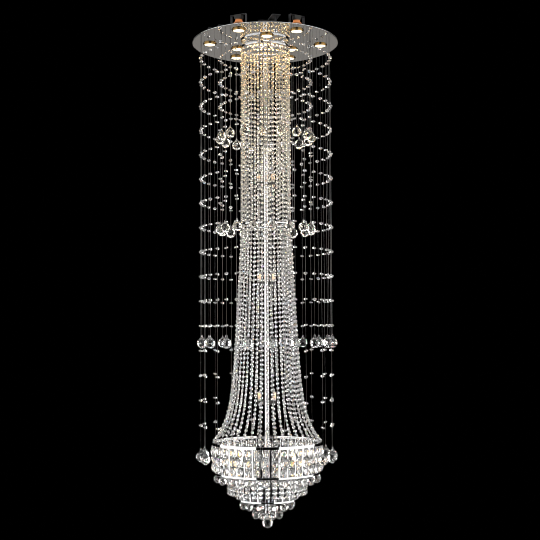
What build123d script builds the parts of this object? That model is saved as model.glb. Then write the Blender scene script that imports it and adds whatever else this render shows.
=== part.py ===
from build123d import *
import math
import os

# A long crystal cascade light that hangs from a mirror plate under the ceiling.
# Millimetres, +Z up. The origin is on the ceiling face, in the middle of the bracket's bolt circle.
# An angle is counted from +X towards +Y, seen from above.

# Ceiling bracket
BRACKET_T = 3.0
BRACKET_ARM_W = 34.0
BRACKET_PAD_R = 72.0
BRACKET_PAD_SIDES = 12
BRACKET_DROP = 12.0
BRACKET_SLOPE = 14.0
BRACKET_END = 14.0
CABLE_HOLE_R = 20.0
HOLE_SIDES = 16
HEX = 6
CEILING_BOLT_R = 3.25
CEILING_BOLT_PCD = 112.0
CEILING_BOLTS = 4

# Hanging of the plate
CEILING_GAP = 75.0
PILLARS = 4
PILLAR_TURN = 12.5
PILLAR_PCD = 372.0
PILLAR_R = 4.6
SCREW_R = 2.9
SCREW_HEAD_R = 8.0
SCREW_HEAD_H = 9.0
SCREW_GRIP = 10.0
SCREW_HOLE_R = 3.1
SCREW_HOLE_SIDES = 8
SCREW_DOME = ((0.35, 0.0), (0.82, 0.3), (1.0, 0.65))

# Mirror plate
PLATE_R = 300.0
PLATE_T = 2.0

# Spot lamps with two locking pins
OUTER_SPOTS = 6
OUTER_SPOT_R = 229.0
OUTER_SPOT_TURN = 2.5
INNER_SPOTS = 3
INNER_SPOT_R = 130.0
INNER_SPOT_TURN = 32.5
SPOT_FACE_R = 25.0
SPOT_PROUD = 6.0
SPOT_BEZEL_H = 7.0
SPOT_CONE_H = 30.0
SPOT_NECK_R = 14.0
SPOT_NECK_H = 11.0
SPOT_SIDES = 10
SPOT_HOLE_GAP = 1.2
SPOT_HOLE_SIDES = 16
SPOT_PIN_R = 2.0
SPOT_PIN_SIDES = 4
SPOT_PIN_PITCH = 10.0
SPOT_PIN_H = 6.5

# Spot lampholders and the bridges that carry them
HOLDER_L = 30.0
HOLDER_W = 22.0
HOLDER_H = 16.0
HOLDER_POCKET_R = 8.8
HOLDER_POCKET_H = 8.0
HOLDER_POCKET_SIDES = 8
BRIDGE_SPAN = 64.0
BRIDGE_FOOT = 10.0
BRIDGE_W = 14.0
BRIDGE_T = 1.5

# Wiring on top of the plate
COVER_R = 45.0
COVER_H = 30.0
COVER_WALL = 2.0
COVER_SIDES = 12
COVER_HOLE_R = 8.0
BLOCK_L = 18.0
BLOCK_W = 30.0
BLOCK_H = 12.0
BLOCK_GAP = 3.0
LEAD_W = 4.0
LEAD_T = 2.5
LEAD_REST = 4.0
LEAD_EXIT_H = 18.0
LEAD_DIP = 14.0
LEAD_RISE = 32.0

# Central stem
STEM_R = 9.5
STEM_WALL = 1.5
STEM_ABOVE = 13.0
STEM_BELOW = 7.5
STEM_NUT_R = 15.6
STEM_NUT_H = 6.0
FIT = 0.1

# Curtain column round the stem
STRANDS = 40
STRAND_R = 99.0
STRAND_SIZE = 5.0
STRAND_SIDES = 3
RING_DROP = 12.0
RING_H = 9.0
BAND_T = 3.0
BAND_FLATS = 32
RING_POSTS = 4
RING_POST_R = 2.8
RING_POST_TURN = 45.0
WAIST_Z = -829.0
WAIST_T = 4.0
WAIST_BAND = 9.0
SPIDER_ARMS = 4
SPIDER_ARM_W = 9.0
SPIDER_HUB_R = 18.0
SPIDER_HUB_SIDES = 8
SPIDER_T = 3.0
FLARE_STEADY = 50.0
FLARE_POWER = 10.0
FLARE_STEPS = (0.0, 0.6, 0.9, 1.0)

# Capsule lamps on a flat plug-in base
CAPSULE_R = 8.0
CAPSULE_TIP_R = 4.5
CAPSULE_H = 40.0
CAPSULE_TIP_H = 8.0
CAPSULE_SIDES = 6
TONGUE_L = 12.0
TONGUE_W = 4.0
TONGUE_H = 8.0
SOCKET_GAP = 0.5
SEAT_GAP = 0.3
STEM_LAMP_RISES = (1081.0, 671.0, 189.0)
STEM_LAMPS_PER_LEVEL = 2
STEM_LAMP_R = 30.0
STEM_HOLDER_W = 14.0
STEM_HOLDER_H = 16.0
BOWL_LAMPS = 4
BOWL_LAMP_R = 147.0
BOWL_LAMP_TURN = 45.0
BOWL_HOLDER_R = 9.5
BOWL_HOLDER_H = 45.0
BOWL_HOLDER_SIDES = 8

# Bowl, upper tier
TOP_RING_Z = -1714.0
TOP_RING_R = 222.5
TOP_RING_H = 11.5
TIER_1_H = 106.0
TIER_1_BARS = 40
TIER_1_BAR_TURN = -87.5
TIER_1_BAR_W = 5.0
TIER_1_BAR_T = 2.0
TIER_1_ROWS = 3
CRYSTAL_W = 28.0
CRYSTAL_T = 12.0
HOOP_DROP = 69.6
HOOP_H = 3.0
HOOP_T = 1.5
MIDDLE_RING_R = 216.0
MIDDLE_RING_H = 8.0
TRAY_T = 1.5
TRAY_DROP = 2.0
RIM_BALLS = 18
RIM_BALL_CIRCLE_R = 201.0
RIM_BALL_TURN = 8.0
RIM_BALL_R = 17.0

# Bowl, lower tier
TIER_2_BARS = 24
TIER_2_BAR_TOP_R = 140.0
TIER_2_BAR_TURN = -92.5
TIER_2_H = 103.0
TIER_2_PRISMS = 36
PRISM_CIRCLE_R = 157.0
PRISM_R = 6.0
PRISM_L = 88.0
PRISM_TIP = 14.0
PRISM_TOP_R = 4.8
PRISM_SIDES = 4
BOTTOM_RING_R = 127.0
BOTTOM_RING_H = 7.0
OUTER_BOTTOM_BALLS = 12
OUTER_BOTTOM_BALL_CIRCLE_R = 97.0
OUTER_BOTTOM_BALL_TURN = 12.0
INNER_BOTTOM_BALLS = 8
INNER_BOTTOM_BALL_CIRCLE_R = 50.0
INNER_BOTTOM_BALL_TURN = 22.5
OUTER_BOTTOM_BALL_R = 17.0
INNER_BOTTOM_BALL_R = 16.0
END_PLATE_R = 60.0
END_PLATE_SIDES = 16
END_PLATE_DROP = 39.0

# Cut balls
BALL_BELT = 0.42
BALL_NECK = 1.4
BALL_SIDES = 6
FINIAL_SIDES = 8

# Finial
FINIAL_R = 20.5
EYE_W = 12.0
EYE_T = 3.0
EYE_L = 16.0
EYE_HOLE_R = 3.0
EYE_EDGE = 6.0
PLUG_L = 12.0
BAIL_BAR = 2.0
BAIL_W = 12.0
BAIL_PLAY = 0.5
BAIL_L = 18.0

# Strings of the curtain, in four lengths
INNER_STRINGS = 32
INNER_STRING_R = 188.0
OUTER_STRINGS = 36
OUTER_STRING_R = 267.0
OUTER_STRING_TURN = -86.0
WIRE_R = 0.5
WIRE_SIDES = 3
STRING_BALL_R = 20.0
INNER_DROPS = (397.0, 774.0)
OUTER_DROPS = (1235.0, 1690.0)

# Heights that follow from the sizes above
PLATE_TOP = -CEILING_GAP
PLATE_BOTTOM = PLATE_TOP - PLATE_T
ARM_BOTTOM = -BRACKET_DROP - BRACKET_T
SPOT_FACE_Z = PLATE_BOTTOM - SPOT_PROUD
SPOT_NECK_Z = SPOT_FACE_Z + SPOT_BEZEL_H + SPOT_CONE_H
SPOT_TOP_Z = SPOT_NECK_Z + SPOT_NECK_H
HOLDER_Z = SPOT_TOP_Z + SEAT_GAP
RING_TOP = PLATE_BOTTOM - RING_DROP
RING_BOTTOM = RING_TOP - RING_H
WAIST_TOP = WAIST_Z + WAIST_T / 2
WAIST_BOTTOM = WAIST_Z - WAIST_T / 2
TOP_RING_TOP = TOP_RING_Z + TOP_RING_H / 2
TOP_RING_BOTTOM = TOP_RING_Z - TOP_RING_H / 2
MIDDLE_RING_TOP = TOP_RING_BOTTOM - TIER_1_H
MIDDLE_RING_BOTTOM = MIDDLE_RING_TOP - MIDDLE_RING_H
TRAY_TOP = MIDDLE_RING_TOP - TRAY_DROP
TRAY_BOTTOM = TRAY_TOP - TRAY_T
BOTTOM_RING_TOP = TRAY_BOTTOM - TIER_2_H
BOTTOM_RING_BOTTOM = BOTTOM_RING_TOP - BOTTOM_RING_H
BOTTOM_TRAY_TOP = BOTTOM_RING_TOP - TRAY_DROP
BOTTOM_TRAY_BOTTOM = BOTTOM_TRAY_TOP - TRAY_T
END_PLATE_TOP = BOTTOM_TRAY_BOTTOM - END_PLATE_DROP
END_PLATE_BOTTOM = END_PLATE_TOP - TRAY_T
STEM_TOP = PLATE_TOP + STEM_ABOVE
STEM_BOTTOM = END_PLATE_BOTTOM - STEM_BELOW
STEM_BORE_R = STEM_R - STEM_WALL
STEM_HOLE_R = STEM_R + FIT
EYE_Z = STEM_BOTTOM - EYE_L + EYE_EDGE
BAIL_TOP = EYE_Z - EYE_HOLE_R + BAIL_PLAY + BAIL_BAR
BAIL_BOTTOM = BAIL_TOP - BAIL_L


def polar(radius, angle, z=0.0):
    """A point at a radius and an angle round the stem."""
    turn = math.radians(angle)
    return (radius * math.cos(turn), radius * math.sin(turn), z)


def angles(count, start=0.0):
    """Evenly spaced angles of a full circle."""
    return [start + 360.0 * i / count for i in range(count)]


def polygon(radius, z, sides, turn=0.0, centre=(0.0, 0.0)):
    """The corners of a level regular polygon."""
    corners = [polar(radius, angle, z) for angle in angles(sides, turn)]
    return [(x + centre[0], y + centre[1], z) for x, y, z in corners]


def block(length, width, z, turn=0.0, centre=(0.0, 0.0)):
    """The corners of a level rectangle, its length along the turned X axis."""
    corners = []
    for x, y in ((1, 1), (-1, 1), (-1, -1), (1, -1)):
        radius = math.hypot(length, width) / 2
        angle = math.degrees(math.atan2(y * width, x * length)) + turn
        px, py, pz = polar(radius, angle, z)
        corners.append((px + centre[0], py + centre[1], pz))
    return corners


def stack(*sections):
    """A flat-faced solid through level sections of matching corners. A section of one point is a tip."""
    faces = []
    for end in (sections[0], sections[-1]):
        if len(end) > 1:
            faces.append(Face(Wire.make_polygon(end, close=True)))
    for low, high in zip(sections, sections[1:]):
        sides = max(len(low), len(high))
        for i in range(sides):
            j = (i + 1) % sides
            corners = [low[i % len(low)]]
            if len(low) > 1:
                corners.append(low[j])
            if len(high) > 1:
                corners.append(high[j])
            corners.append(high[i % len(high)])
            faces.append(Face(Wire.make_polygon(corners, close=True)))
    return Solid(Shell(faces))


def place(shape, radius, angle, z=0.0):
    """A copy of a shape carried out along +X to a radius, then turned to an angle."""
    return shape.moved(Location((0, 0, z), (0, 0, angle)) * Location((radius, 0, 0)))


def circle_of(shape, count, radius, start=0.0, z=0.0):
    return [place(shape, radius, angle, z) for angle in angles(count, start)]


def band(outer_r, top, bottom):
    """A hoop of flat strip, rolled round in many short flats."""
    wall = RegularPolygon(outer_r, BAND_FLATS) - RegularPolygon(outer_r - BAND_T, BAND_FLATS)
    return extrude(Pos(0, 0, bottom) * wall, top - bottom)


def band_room(outer_r):
    """The radius that fits inside a band, measured to the middle of its flats."""
    return (outer_r - BAND_T) * math.cos(math.pi / BAND_FLATS) - FIT


def hole(radius, sides):
    """The outline of a many-sided hole, its radius measured to the middle of its flats."""
    return RegularPolygon(radius, sides, major_radius=False)


def cut_ball(radius, sides, neck=1.0):
    """A cut crystal ball: a belt of upright facets, a tip below, and one above drawn up to a neck."""
    belt = radius * BALL_BELT
    return stack(
        [(0, 0, -radius)],
        polygon(radius, -belt, sides),
        polygon(radius, belt, sides),
        [(0, 0, radius * neck)],
    )


def hanging_balls(count, circle_r, start, ball_r, top):
    """Drop-shaped cut balls in a ring, each hung with its upper tip at a height."""
    ball = cut_ball(ball_r, BALL_SIDES, BALL_NECK)
    return circle_of(ball, count, circle_r, start, top - ball_r * BALL_NECK)


def ceiling_bracket():
    """Two crossed bars, cranked down at their ends, round a flat pad that meets the ceiling."""
    end = PILLAR_PCD / 2 + BRACKET_END
    slope_end = BRACKET_PAD_R + BRACKET_SLOPE
    lean = math.atan2(BRACKET_DROP, BRACKET_SLOPE)
    shift = BRACKET_T * math.tan(lean / 2)
    top = [(BRACKET_PAD_R, 0), (slope_end, -BRACKET_DROP), (end, -BRACKET_DROP)]
    under = [
        (end, ARM_BOTTOM),
        (slope_end - shift, ARM_BOTTOM),
        (BRACKET_PAD_R - shift, -BRACKET_T),
    ]
    right = top + under
    left = [(-x, z) for x, z in reversed(right)]
    outline = make_face(Polyline(*right, *left, close=True))
    bar = extrude(Plane.XZ * outline, BRACKET_ARM_W / 2, both=True)
    solid = None
    for turn in (PILLAR_TURN, PILLAR_TURN + 90):
        turned = Rot(0, 0, turn) * bar
        solid = turned if solid is None else solid + turned
    pad = RegularPolygon(BRACKET_PAD_R, BRACKET_PAD_SIDES)
    pad = extrude(Pos(0, 0, -BRACKET_T) * pad, BRACKET_T)
    solid = solid + pad
    bolt_hole = Circle(CEILING_BOLT_R)
    holes = [
        Pos(*polar(CEILING_BOLT_PCD / 2, angle)) * bolt_hole
        for angle in angles(CEILING_BOLTS, PILLAR_TURN + 45)
    ]
    holes.append(hole(CABLE_HOLE_R, HOLE_SIDES))
    for outline in holes:
        solid = solid - extrude(outline, BRACKET_T, both=True)
    return [solid]


def hanger_pillars():
    """Hexagonal spacer rods between the bracket's arms and the plate."""
    rod = stack(polygon(PILLAR_R, PLATE_TOP, HEX), polygon(PILLAR_R, ARM_BOTTOM, HEX))
    return circle_of(rod, PILLARS, PILLAR_PCD / 2, PILLAR_TURN)


def cap_screws():
    """Domed screws that hold the plate up against the pillars."""
    head_end = PLATE_BOTTOM - SCREW_HEAD_H
    dome = [
        polygon(SCREW_HEAD_R * width, head_end + SCREW_HEAD_H * rise, HEX)
        for width, rise in SCREW_DOME
    ]
    screw = stack(
        *dome,
        polygon(SCREW_HEAD_R, PLATE_BOTTOM, HEX),
        polygon(SCREW_R, PLATE_BOTTOM, HEX),
        polygon(SCREW_R, PLATE_TOP + SCREW_GRIP, HEX),
    )
    return circle_of(screw, PILLARS, PILLAR_PCD / 2, PILLAR_TURN)


def spot_places():
    """Radius and angle of every spot lamp, the outer circle first."""
    outer = [(OUTER_SPOT_R, angle) for angle in angles(OUTER_SPOTS, OUTER_SPOT_TURN)]
    inner = [(INNER_SPOT_R, angle) for angle in angles(INNER_SPOTS, INNER_SPOT_TURN)]
    return outer + inner


def ceiling_plate():
    """The round mirror plate, with its holes for the spots, screws and stem."""
    face = Circle(PLATE_R) - hole(STEM_HOLE_R, HOLE_SIDES)
    spot_hole = RegularPolygon(SPOT_FACE_R + SPOT_HOLE_GAP, SPOT_HOLE_SIDES)
    for radius, angle in spot_places():
        face = face - Pos(*polar(radius, angle)) * spot_hole
    screw_hole = hole(SCREW_HOLE_R, SCREW_HOLE_SIDES)
    for angle in angles(PILLARS, PILLAR_TURN):
        face = face - Pos(*polar(PILLAR_PCD / 2, angle)) * screw_hole
    return [extrude(Pos(0, 0, PLATE_BOTTOM) * face, PLATE_T)]


def spot_lamp():
    """A reflector lamp at the stem's axis: faceted body, neck and two locking pins."""
    body = stack(
        polygon(SPOT_FACE_R, SPOT_FACE_Z, SPOT_SIDES),
        polygon(SPOT_FACE_R, SPOT_FACE_Z + SPOT_BEZEL_H, SPOT_SIDES),
        polygon(SPOT_NECK_R, SPOT_NECK_Z, SPOT_SIDES),
        polygon(SPOT_NECK_R, SPOT_TOP_Z, SPOT_SIDES),
    )
    pins = []
    for side in (-1, 1):
        centre = (side * SPOT_PIN_PITCH / 2, 0.0)
        pins.append(
            stack(
                polygon(SPOT_PIN_R, SPOT_TOP_Z, SPOT_PIN_SIDES, 0.0, centre),
                polygon(SPOT_PIN_R, SPOT_TOP_Z + SPOT_PIN_H, SPOT_PIN_SIDES, 0.0, centre),
            )
        )
    return [body] + pins


def spot_lampholder():
    """A ceramic block with a pocket in its underside for the lamp's pins."""
    body = Pos(0, 0, HOLDER_Z + HOLDER_H / 2) * Box(HOLDER_W, HOLDER_L, HOLDER_H)
    pocket = RegularPolygon(HOLDER_POCKET_R, HOLDER_POCKET_SIDES)
    return body - extrude(Pos(0, 0, HOLDER_Z) * pocket, HOLDER_POCKET_H)


def spot_bridge():
    """A steel strap bent over the lampholder, standing on the plate on two feet."""
    strap_bottom = HOLDER_Z + HOLDER_H
    strap_top = strap_bottom + BRIDGE_T
    leg = BRIDGE_SPAN / 2
    half = [
        (leg + BRIDGE_FOOT, PLATE_TOP),
        (leg + BRIDGE_FOOT, PLATE_TOP + BRIDGE_T),
        (leg + BRIDGE_T, PLATE_TOP + BRIDGE_T),
        (leg + BRIDGE_T, strap_top),
    ]
    inner = [(leg, strap_bottom), (leg, PLATE_TOP)]
    outline = half + [(-y, z) for y, z in reversed(half)]
    outline += [(-y, z) for y, z in reversed(inner)] + inner
    face = make_face(Polyline(*outline, close=True))
    return extrude(Plane.YZ * face, BRIDGE_W / 2, both=True)


def lamp_leads():
    """A flat twin lead from the junction cover to each spot lampholder, lying on the plate."""
    cover_wall = COVER_R * math.cos(math.pi / COVER_SIDES)
    leads = []
    for radius, angle in spot_places():
        holder_wall = radius - HOLDER_W / 2
        route = [
            (cover_wall, PLATE_TOP + LEAD_EXIT_H),
            (cover_wall + LEAD_DIP, PLATE_TOP + LEAD_REST),
            (holder_wall - LEAD_RISE, PLATE_TOP + LEAD_REST),
            (holder_wall, HOLDER_Z + HOLDER_H / 2),
        ]
        sections = []
        for i, (r, z) in enumerate(route):
            before = route[max(i - 1, 0)]
            after = route[min(i + 1, len(route) - 1)]
            if i == 0 or i == len(route) - 1:
                across = (0.0, LEAD_T / 2)
            else:
                one = math.atan2(z - before[1], r - before[0])
                two = math.atan2(after[1] - z, after[0] - r)
                normal = (one + two) / 2 + math.pi / 2
                reach = LEAD_T / 2 / math.cos((two - one) / 2)
                across = (reach * math.cos(normal), reach * math.sin(normal))
            section = []
            for side, up in ((1, 1), (-1, 1), (-1, -1), (1, -1)):
                point_r = r + up * across[0]
                section.append((point_r, side * LEAD_W / 2, z + up * across[1]))
            sections.append(section)
        leads.append(stack(*sections).moved(Location((0, 0, 0), (0, 0, angle))))
    return leads


def junction_cover():
    """A many-sided cover over the connections, a flat towards each lead, with a cable hole."""
    turn = OUTER_SPOT_TURN - 180.0 / COVER_SIDES
    inner_r = COVER_R - COVER_WALL
    outer = stack(
        polygon(COVER_R, PLATE_TOP, COVER_SIDES, turn),
        polygon(COVER_R, PLATE_TOP + COVER_H, COVER_SIDES, turn),
    )
    inner = stack(
        polygon(inner_r, PLATE_TOP, COVER_SIDES, turn),
        polygon(inner_r, PLATE_TOP + COVER_H - COVER_WALL, COVER_SIDES, turn),
    )
    cable_hole = Pos(0, 0, PLATE_TOP + COVER_H) * hole(COVER_HOLE_R, HOLE_SIDES)
    return [outer - inner - extrude(cable_hole, -2 * COVER_WALL)]


def terminal_block():
    centre = (STEM_NUT_R + BLOCK_GAP + BLOCK_L / 2, 0.0)
    low = block(BLOCK_L, BLOCK_W, PLATE_TOP, 0.0, centre)
    return [stack(low, block(BLOCK_L, BLOCK_W, PLATE_TOP + BLOCK_H, 0.0, centre))]


def stem_nut(bottom):
    """A hexagonal nut on the stem."""
    face = RegularPolygon(STEM_NUT_R, HEX) - hole(STEM_HOLE_R, HOLE_SIDES)
    return extrude(Pos(0, 0, bottom) * face, STEM_NUT_H)


def stem_nuts():
    return [stem_nut(PLATE_TOP), stem_nut(END_PLATE_BOTTOM - STEM_NUT_H)]


def spider(band_r, top, thickness, band=0.0):
    """Flat arms from a hub on the stem, with an outer band where the strands are tied."""
    face = RegularPolygon(SPIDER_HUB_R, SPIDER_HUB_SIDES)
    reach = band_r - band / 2
    for angle in angles(SPIDER_ARMS):
        arm = Pos(reach / 2, 0) * Rectangle(reach, SPIDER_ARM_W)
        face = face + Rot(0, 0, angle) * arm
    if band:
        outline = RegularPolygon(band_r, STRANDS)
        face = face + (outline - RegularPolygon(band_r - band, STRANDS))
    face = face - hole(STEM_HOLE_R, HOLE_SIDES)
    return [extrude(Pos(0, 0, top - thickness) * face, thickness)]


def flare(share):
    """Radius and height of a lower strand, at a share of its drop from waist to bowl."""
    spread = TOP_RING_R - BAND_T / 2 - STRAND_R - FLARE_STEADY
    radius = STRAND_R + FLARE_STEADY * share + spread * share**FLARE_POWER
    return radius, WAIST_BOTTOM + (TOP_RING_TOP - WAIST_BOTTOM) * share


def upper_strands():
    strand = stack(
        polygon(STRAND_SIZE, WAIST_TOP, STRAND_SIDES),
        polygon(STRAND_SIZE, RING_BOTTOM, STRAND_SIDES),
    )
    return circle_of(strand, STRANDS, STRAND_R)


def lower_strands():
    """Strands that leave the waist upright and sweep out to the bowl's top ring."""
    sections = []
    for share in FLARE_STEPS:
        radius, z = flare(share)
        sections.append(polygon(STRAND_SIZE, z, STRAND_SIDES, 0.0, (radius, 0.0)))
    return circle_of(stack(*sections), STRANDS, 0.0)


def capsule_lamp(seat):
    """A capsule lamp standing on a seat, with a flat tongue that plugs into it."""
    base = seat + SEAT_GAP
    glass = stack(
        polygon(CAPSULE_R, base, CAPSULE_SIDES),
        polygon(CAPSULE_R, base + CAPSULE_H - CAPSULE_TIP_H, CAPSULE_SIDES),
        polygon(CAPSULE_TIP_R, base + CAPSULE_H, CAPSULE_SIDES),
    )
    tongue = stack(
        block(TONGUE_W, TONGUE_L, base - TONGUE_H),
        block(TONGUE_W, TONGUE_L, base),
    )
    return [glass, tongue]


def socket_cut(seat):
    """The slot that a capsule lamp's tongue goes into."""
    depth = TONGUE_H + SOCKET_GAP
    width = TONGUE_W + 2 * SOCKET_GAP
    length = TONGUE_L + 2 * SOCKET_GAP
    return Pos(0, 0, seat - depth / 2) * Box(width, length, depth)


def stem_holder(seat):
    """A block on the stem's side, with the socket in its top. Its lamp stands at x = 0."""
    inner = STEM_R + FIT - STEM_LAMP_R
    outer = CAPSULE_R
    body = Box(outer - inner, STEM_HOLDER_W, STEM_HOLDER_H)
    body = Pos((outer + inner) / 2, 0, seat - STEM_HOLDER_H / 2) * body
    return body - socket_cut(seat)


def stem_lamp_places():
    """Seat height and angle of every lamp on the stem. Their levels rise from the bowl's top ring."""
    seats = [TOP_RING_Z + rise - CAPSULE_H / 2 for rise in STEM_LAMP_RISES]
    return [(seat, angle) for seat in seats for angle in angles(STEM_LAMPS_PER_LEVEL)]


def bowl_holder(seat):
    """A post on the tray, with the socket in its top."""
    post = RegularPolygon(BOWL_HOLDER_R, BOWL_HOLDER_SIDES)
    return extrude(Pos(0, 0, TRAY_TOP) * post, seat - TRAY_TOP) - socket_cut(seat)


def sloped_bars(count, start, top_r, top_z, bottom_r, bottom_z):
    """Flat bars from one circle down to a smaller one."""
    bar = stack(
        block(TIER_1_BAR_T, TIER_1_BAR_W, bottom_z, 0.0, (bottom_r, 0.0)),
        block(TIER_1_BAR_T, TIER_1_BAR_W, top_z, 0.0, (top_r, 0.0)),
    )
    return circle_of(bar, count, 0.0, start)


def tier_1_bars():
    top_r = TOP_RING_R - BAND_T / 2
    bottom_r = MIDDLE_RING_R - BAND_T / 2
    return sloped_bars(
        TIER_1_BARS, TIER_1_BAR_TURN, top_r, TOP_RING_BOTTOM, bottom_r, MIDDLE_RING_TOP
    )


def bar_radius(drop):
    """Radius of the upper tier's bars at a drop below the top ring."""
    return TOP_RING_R - BAND_T / 2 - (TOP_RING_R - MIDDLE_RING_R) * drop / TIER_1_H


def tier_1_hoop():
    """A thin hoop inside the bars, a flat between each two, that steadies them."""
    nearest = min(bar_radius(HOOP_DROP), bar_radius(HOOP_DROP - HOOP_H))
    outer_r = nearest - TIER_1_BAR_T / 2 - SEAT_GAP
    outline = RegularPolygon(outer_r, TIER_1_BARS)
    face = outline - RegularPolygon(outer_r - HOOP_T, TIER_1_BARS)
    hoop = Pos(0, 0, TOP_RING_BOTTOM - HOOP_DROP) * Rot(0, 0, TIER_1_BAR_TURN) * face
    return [extrude(hoop, HOOP_H)]


def tier_1_crystals():
    """Chains of flat cut crystals, one chain in each bay between two bars."""
    pitch = TIER_1_H / TIER_1_ROWS
    reach = (pitch - SEAT_GAP) / 2
    middle = [(CRYSTAL_T / 2, 0, 0), (0, CRYSTAL_W / 2, 0)]
    middle += [(-x, -y, z) for x, y, z in middle]
    crystal = stack([(0, 0, -reach)], middle, [(0, 0, reach)])
    crystals = []
    first_bay = TIER_1_BAR_TURN + 180.0 / TIER_1_BARS
    circle_r = band_room(TOP_RING_R) + FIT + BAND_T / 2
    for row in range(TIER_1_ROWS):
        level = TOP_RING_BOTTOM - SEAT_GAP / 2 - pitch * (row + 0.5)
        crystals += circle_of(crystal, TIER_1_BARS, circle_r, first_bay, level)
    return crystals


def tray(radius, sides, top):
    """A thin many-sided tray with a hole for the stem."""
    face = RegularPolygon(radius, sides) - hole(STEM_HOLE_R, HOLE_SIDES)
    return [extrude(Pos(0, 0, top - TRAY_T) * face, TRAY_T)]


def tier_2_bars():
    bottom_r = BOTTOM_RING_R - BAND_T / 2
    return sloped_bars(
        TIER_2_BARS, TIER_2_BAR_TURN, TIER_2_BAR_TOP_R, TRAY_BOTTOM, bottom_r, BOTTOM_RING_TOP
    )


def tier_2_prisms():
    """Long four-sided drops with a pointed lower end."""
    top = TRAY_BOTTOM - SEAT_GAP
    drop = stack(
        [(0, 0, top - PRISM_L)],
        polygon(PRISM_R, top - PRISM_L + PRISM_TIP, PRISM_SIDES),
        polygon(PRISM_TOP_R, top, PRISM_SIDES),
    )
    return circle_of(drop, TIER_2_PRISMS, PRISM_CIRCLE_R)


def finial_eye():
    """A plug in the stem's lower end, with a flat eye below it."""
    plug = stack(
        polygon(STEM_BORE_R - FIT, STEM_BOTTOM, HEX),
        polygon(STEM_BORE_R - FIT, STEM_BOTTOM + PLUG_L, HEX),
    )
    face = Pos(0, STEM_BOTTOM - EYE_L / 2) * Rectangle(EYE_W, EYE_L)
    face = face - Pos(0, EYE_Z) * hole(EYE_HOLE_R, HOLE_SIDES)
    return [plug + extrude(Plane.XZ * face, EYE_T / 2, both=True)]


def finial_ball():
    """The lowest ball, on a wire bail that hangs in the eye."""
    middle = (BAIL_TOP + BAIL_BOTTOM) / 2
    face = Pos(0, middle) * Rectangle(BAIL_W, BAIL_L)
    opening = Rectangle(BAIL_W - 2 * BAIL_BAR, BAIL_L - 2 * BAIL_BAR)
    face = face - Pos(0, middle) * opening
    bail = extrude(Plane.YZ * face, BAIL_BAR / 2, both=True)
    ball = cut_ball(FINIAL_R, FINIAL_SIDES).moved(Location((0, 0, BAIL_BOTTOM - FINIAL_R)))
    return [bail, ball]


def string_sets():
    """Name, circle, first angle, count and drop of each length of string."""
    half_pitch = 180.0 / INNER_STRINGS
    inner = INNER_STRINGS // 2
    outer = OUTER_STRINGS // 2
    return [
        ("a", INNER_STRING_R, PILLAR_TURN + half_pitch, inner, INNER_DROPS[0]),
        ("b", INNER_STRING_R, PILLAR_TURN - half_pitch, inner, INNER_DROPS[1]),
        ("c", OUTER_STRING_R, OUTER_STRING_TURN, outer, OUTER_DROPS[0]),
        ("d", OUTER_STRING_R, OUTER_STRING_TURN + 180.0 / outer, outer, OUTER_DROPS[1]),
    ]


def string_end(drop):
    """Height of a string's lower end, at the upper tip of its ball."""
    return PLATE_BOTTOM - drop + STRING_BALL_R * BALL_NECK


def string_wires(circle_r, start, count, drop):
    """Taut wires from the plate down to the upper tips of their balls."""
    end = string_end(drop)
    wire = stack(
        polygon(WIRE_R, end, WIRE_SIDES), polygon(WIRE_R, PLATE_BOTTOM, WIRE_SIDES)
    )
    return circle_of(wire, count, circle_r, start)


def write(name, solids):
    """Writes one sub-part, a single solid or a group of separate ones."""
    shape = solids[0] if len(solids) == 1 else Compound(children=list(solids))
    export_step(shape, f"parts/{name}.step")


os.makedirs("parts", exist_ok=True)

write("ceiling_bracket", ceiling_bracket())
write("hanger_pillars", hanger_pillars())
write("cap_screws", cap_screws())
write("ceiling_plate", ceiling_plate())

write("lamp_bridges", [place(spot_bridge(), r, a) for r, a in spot_places()])
write("spot_lampholders", [place(spot_lampholder(), r, a) for r, a in spot_places()])
for number, (spot_r, spot_angle) in enumerate(spot_places(), 1):
    write(f"spot_lamp_{number}", [place(s, spot_r, spot_angle) for s in spot_lamp()])
write("lamp_leads", lamp_leads())
write("junction_cover", junction_cover())
write("terminal_block", terminal_block())

tube_end = Pos(0, 0, STEM_BOTTOM) * (Circle(STEM_R) - Circle(STEM_BORE_R))
write("stem_tube", [extrude(tube_end, STEM_TOP - STEM_BOTTOM)])
write("stem_nuts", stem_nuts())
ring_r = STRAND_R + BAND_T / 2
write("column_ring", [band(ring_r, RING_TOP, RING_BOTTOM)])
post = stack(polygon(RING_POST_R, RING_TOP, HEX), polygon(RING_POST_R, PLATE_BOTTOM, HEX))
write("ring_posts", circle_of(post, RING_POSTS, STRAND_R, RING_POST_TURN))
write("upper_strands", upper_strands())
write("column_spider", spider(STRAND_R + WAIST_BAND / 2, WAIST_TOP, WAIST_T, WAIST_BAND))
write("lower_strands", lower_strands())

lamp_seats = stem_lamp_places()
holders = [place(stem_holder(seat), STEM_LAMP_R, angle) for seat, angle in lamp_seats]
write("stem_lampholders", holders)
for number, (seat, lamp_angle) in enumerate(lamp_seats, 1):
    lamp = [place(s, STEM_LAMP_R, lamp_angle) for s in capsule_lamp(seat)]
    write(f"stem_lamp_{number}", lamp)

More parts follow.
